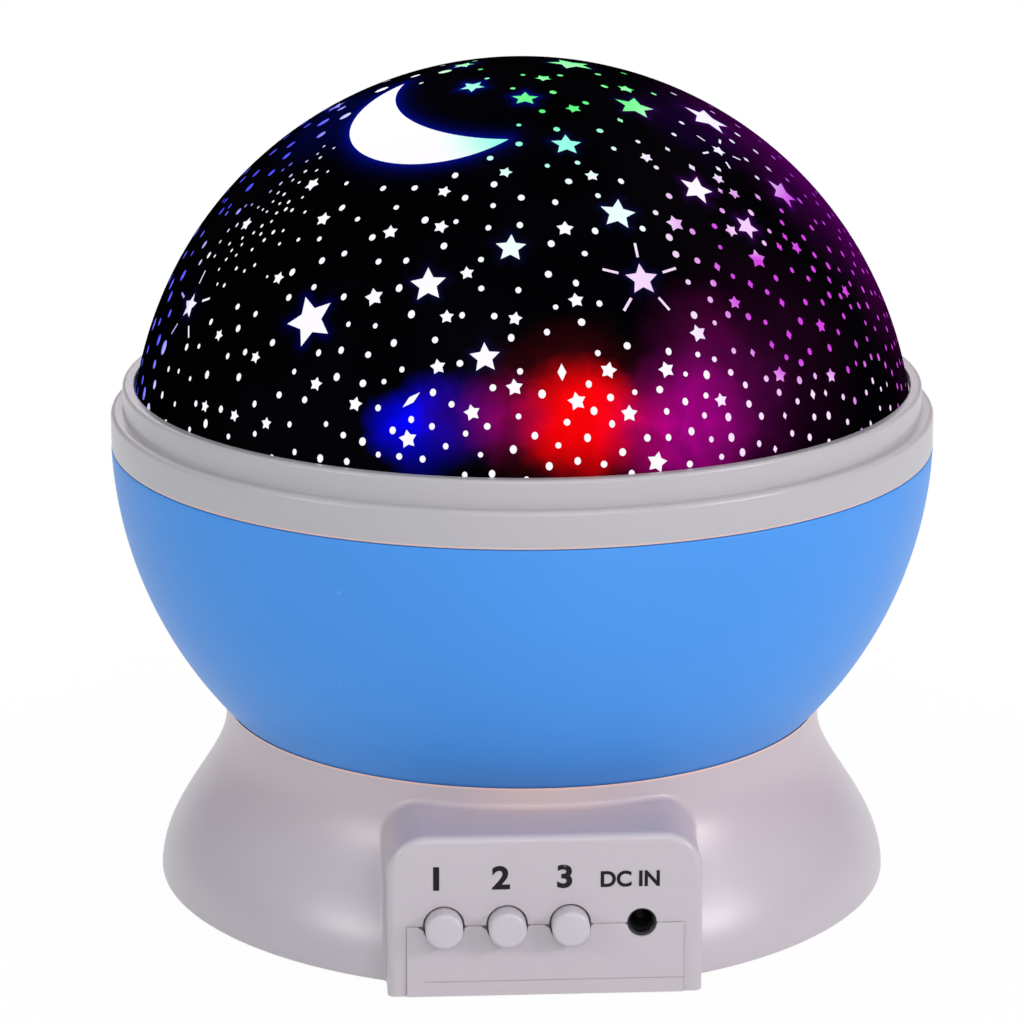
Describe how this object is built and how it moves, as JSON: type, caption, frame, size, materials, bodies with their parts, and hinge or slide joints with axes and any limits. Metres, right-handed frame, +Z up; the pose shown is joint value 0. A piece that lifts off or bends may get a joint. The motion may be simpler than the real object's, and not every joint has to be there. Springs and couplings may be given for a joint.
{
  "type": "star night light projector",
  "caption": "Night light projector: flared white base with push buttons, turning blue bowl with white collar and black starry dome over coloured lights.",
  "frame": {"origin": "on the table under the middle of the round base", "axes": "+Z up along the bowl's turning axis, the control block with the buttons and the power socket faces -Y, +X is to the right of someone who faces the buttons"},
  "size_m": [0.1296, 0.1296, 0.1306],
  "materials": {
    "white_plastic": "semi-gloss moulded, faint mould texture",
    "blue_plastic": "satin moulded",
    "button_plastic": "semi-gloss moulded",
    "clear_plastic": "clear moulded, smooth",
    "black_ink": "matt printed layer",
    "grey_rubber": "matt",
    "plated_steel": "zinc plated",
    "motor_steel": "drawn can",
    "cell_wrap": "shrink sleeve",
    "board_laminate": "solder mask",
    "white_laminate": "white solder mask",
    "black_plastic": "moulded",
    "capacitor_sleeve": "printed sleeve",
    "gear_nylon": "natural nylon",
    "white_lens": "epoxy lens",
    "red_lens": "epoxy lens",
    "green_lens": "epoxy lens",
    "blue_lens": "epoxy lens",
    "yellow_wire": "pvc insulation",
    "red_wire": "pvc insulation",
    "blue_wire": "pvc insulation"
  },
  "bodies": {
    "base": {"base_shell": "white_plastic", "bottom_plate": "white_plastic", "rubber_feet": "grey_rubber", "base_screws": "plated_steel", "battery_cells": "cell_wrap", "battery_springs": "plated_steel", "battery_contacts": "plated_steel", "main_board": "board_laminate", "board_screws": "plated_steel", "driver_chip": "black_plastic", "filter_capacitor": "capacitor_sleeve", "switch_bodies": "black_plastic", "power_socket": "black_plastic", "socket_pin": "plated_steel", "gear_case": "gear_nylon", "motor_can": "motor_steel", "motor_screws": "plated_steel", "thrust_washer": "gear_nylon", "light_post": "white_plastic", "post_screws": "plated_steel", "light_board": "white_laminate", "light_board_screws": "plated_steel", "diode_white": "white_lens", "diode_red": "red_lens", "diode_green": "green_lens", "diode_blue": "blue_lens", "light_wires": "yellow_wire", "battery_wires": "red_wire", "motor_wires": "blue_wire"},
    "bowl": {"bowl_shell": "blue_plastic", "bowl_gear": "gear_nylon", "gear_screws": "plated_steel", "collar_ring": "white_plastic", "clear_dome": "clear_plastic", "dome_screws": "plated_steel", "star_mask": "black_ink"},
    "pinion": {"drive_pinion": "gear_nylon", "motor_shaft": "motor_steel"},
    "button_a": {"button_a": "button_plastic", "plunger_a": "gear_nylon"},
    "button_b": {"button_b": "button_plastic", "plunger_b": "gear_nylon"},
    "button_c": {"button_c": "button_plastic", "plunger_c": "gear_nylon"},
    "battery_door": {"battery_door": "white_plastic"}
  },
  "joints": [
    {"name": "bowl_spin", "type": "hinge", "parent": "base", "child": "bowl", "pos_m": [0, 0, 0.0219], "axis": [0, 0, 1], "continuous": true},
    {"name": "pinion_spin", "type": "hinge", "parent": "base", "child": "pinion", "pos_m": [0, 0.03045, 0.0219], "axis": [0, 0, 1], "continuous": true},
    {"name": "button_a_press", "type": "slide", "parent": "base", "child": "button_a", "axis": [0, 1, 0], "range_m": [0, 0.0012], "stiffness_N_per_m": 300},
    {"name": "button_b_press", "type": "slide", "parent": "base", "child": "button_b", "axis": [0, 1, 0], "range_m": [0, 0.0012], "stiffness_N_per_m": 300},
    {"name": "button_c_press", "type": "slide", "parent": "base", "child": "button_c", "axis": [0, 1, 0], "range_m": [0, 0.0012], "stiffness_N_per_m": 300},
    {"name": "battery_door_swing", "type": "hinge", "parent": "base", "child": "battery_door", "pos_m": [0, 0.01835, 0.0004], "axis": [1, 0, 0], "range_deg": [0, 75]}
  ],
  "couplings": [
    {"joint": "pinion_spin", "follows": "bowl_spin", "ratio": -3.75}
  ]
}
